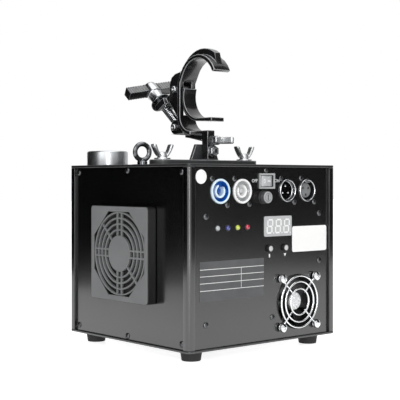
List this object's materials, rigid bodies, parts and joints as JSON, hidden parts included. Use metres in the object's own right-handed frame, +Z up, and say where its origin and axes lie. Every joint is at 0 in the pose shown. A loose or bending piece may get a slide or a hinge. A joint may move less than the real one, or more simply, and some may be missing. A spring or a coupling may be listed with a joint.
{
  "type": "cold spark machine",
  "caption": "Square black steel effect machine with a round nozzle, fans, sockets and display, and a pipe clamp with a T-handle on its lid.",
  "frame": {"origin": "bottom centre of the bounding box, on the surface that the feet stand on", "axes": "+Z up, the connector panel faces -Y, the panel with the filter guard faces -X"},
  "size_m": [0.2134, 0.2079, 0.3162],
  "materials": {
    "case_paint": "fine satin black powder coat",
    "foot_rubber": "matt black rubber",
    "inlet_blue": "satin blue moulding",
    "outlet_grey": "satin light grey moulding",
    "socket_metal": "black plated shell",
    "black_plastic": "satin black moulding",
    "display_grey": "grey display window",
    "board": "green circuit board",
    "lamp_clear": "clear lamp",
    "lamp_blue": "blue lamp",
    "lamp_green": "yellow-green lamp",
    "lamp_red": "red lamp",
    "guard_chrome": "bright plating",
    "nozzle_steel": "turned stainless steel",
    "foam": "open-cell filter foam",
    "inner_aluminium": "plain sheet",
    "eye_steel": "dull plated steel",
    "clamp_paint": "satin black coat"
  },
  "bodies": {
    "case": {"base_plate": "case_paint", "lid": "case_paint", "post_front_left": "case_paint", "post_front_right": "case_paint", "post_rear_right": "case_paint", "post_rear_left": "case_paint", "connector_panel": "case_paint", "fan_side_panel": "case_paint", "right_panel": "case_paint", "rear_panel": "case_paint", "foot_front_left": "foot_rubber", "foot_rear_left": "foot_rubber", "foot_front_right": "foot_rubber", "foot_rear_right": "foot_rubber", "power_inlet": "inlet_blue", "power_outlet": "outlet_grey", "signal_plug": "socket_metal", "signal_socket": "socket_metal", "switch_housing": "black_plastic", "fuse_holder": "black_plastic", "display": "display_grey", "control_board": "board", "lamp_1": "lamp_clear", "lamp_2": "lamp_blue", "lamp_3": "lamp_green", "lamp_4": "lamp_red", "front_fan_frame": "black_plastic", "wire_guard": "guard_chrome", "side_fan_frame": "black_plastic", "filter_guard": "black_plastic", "filter_foam": "foam", "nozzle": "nozzle_steel", "heater_tube": "nozzle_steel", "blower_housing": "black_plastic", "hopper": "inner_aluminium", "gear_motor": "inner_aluminium", "power_supply": "inner_aluminium", "lifting_eye": "eye_steel", "bracket_strip": "clamp_paint", "clamp_body": "clamp_paint", "clamp_foot": "clamp_paint", "jaw_pin": "eye_steel", "bolt_pin": "eye_steel"},
    "rocker": {"switch_rocker": "black_plastic"},
    "fuse_cap": {"fuse_cap": "black_plastic"},
    "button_1": {"button_1": "black_plastic"},
    "button_2": {"button_2": "black_plastic"},
    "front_rotor": {"front_fan_rotor": "black_plastic"},
    "side_rotor": {"side_fan_rotor": "black_plastic"},
    "impeller": {"blower_impeller": "black_plastic"},
    "auger": {"feed_auger": "nozzle_steel"},
    "filler_cap": {"filler_cap": "case_paint"},
    "wing_bolt_left": {"wing_bolt_left": "guard_chrome"},
    "wing_bolt_right": {"wing_bolt_right": "guard_chrome"},
    "wing_screw": {"wing_screw": "guard_chrome"},
    "jaw": {"clamp_jaw": "clamp_paint"},
    "swing_bolt": {"swing_bolt": "guard_chrome"},
    "washer": {"thrust_washer": "guard_chrome"},
    "handle": {"t_handle": "clamp_paint"}
  },
  "joints": [
    {"name": "rocker_tip", "type": "hinge", "parent": "case", "child": "rocker", "pos_m": [0.00665, -0.09143, 0.1736], "axis": [0, 0, -1], "range_deg": [0, 24]},
    {"name": "fuse_cap_turn", "type": "hinge", "parent": "case", "child": "fuse_cap", "pos_m": [0.00175, -0.09483, 0.1573], "axis": [0, -1, 0], "range_deg": [0, 60]},
    {"name": "button_1_press", "type": "slide", "parent": "case", "child": "button_1", "axis": [0, 1, 0], "range_m": [0, 0.0015], "stiffness_N_per_m": 300},
    {"name": "button_2_press", "type": "slide", "parent": "case", "child": "button_2", "axis": [0, 1, 0], "range_m": [0, 0.0015], "stiffness_N_per_m": 300},
    {"name": "front_fan_spin", "type": "hinge", "parent": "case", "child": "front_rotor", "pos_m": [0.05185, -0.09303, 0.0486], "axis": [0, -1, 0], "continuous": true},
    {"name": "side_fan_spin", "type": "hinge", "parent": "case", "child": "side_rotor", "pos_m": [-0.09395, 0.00267, 0.1003], "axis": [-1, 0, 0], "continuous": true},
    {"name": "impeller_spin", "type": "hinge", "parent": "case", "child": "impeller", "pos_m": [-0.07125, 0.07067, 0.0683], "axis": [1, 0, 0], "continuous": true},
    {"name": "auger_spin", "type": "hinge", "parent": "case", "child": "auger", "pos_m": [-0.01325, 0.07067, 0.1243], "axis": [1, 0, 0], "continuous": true},
    {"name": "filler_cap_turn", "type": "hinge", "parent": "case", "child": "filler_cap", "pos_m": [-0.01325, 0.07067, 0.1903], "axis": [0, 0, 1], "range_deg": [0, 90]},
    {"name": "wing_bolt_left_turn", "type": "hinge", "parent": "case", "child": "wing_bolt_left", "pos_m": [-0.05385, -0.00233, 0.1903], "axis": [0, 0, 1], "continuous": true},
    {"name": "wing_bolt_right_turn", "type": "hinge", "parent": "case", "child": "wing_bolt_right", "pos_m": [0.06315, -0.00233, 0.1903], "axis": [0, 0, 1], "continuous": true},
    {"name": "wing_screw_turn", "type": "hinge", "parent": "case", "child": "wing_screw", "pos_m": [0.00475, -0.00343, 0.2168], "axis": [0, -1, 0], "continuous": true},
    {"name": "jaw_close", "type": "hinge", "parent": "case", "child": "jaw", "pos_m": [0.00475, 0.03717, 0.2743], "axis": [-1, 0, 0], "range_deg": [0, 19]},
    {"name": "bolt_swing", "type": "hinge", "parent": "case", "child": "swing_bolt", "pos_m": [0.00475, 0.03767, 0.2326], "axis": [1, 0, 0], "range_deg": [-45, 0]},
    {"name": "washer_slide", "type": "slide", "parent": "swing_bolt", "child": "washer", "axis": [0, -0.766, -0.6428], "range_m": [0, 0.0111]},
    {"name": "handle_turn", "type": "hinge", "parent": "washer", "child": "handle", "pos_m": [0.00475, 0.03767, 0.2326], "axis": [0, -0.766, -0.6428], "range_deg": [0, 2664]}
  ],
  "couplings": [
    {"joint": "washer_slide", "follows": "handle_turn", "m_per_rad": 0.00023873},
    {"joint": "jaw_close", "follows": "handle_turn", "ratio": 0.0071321}
  ]
}
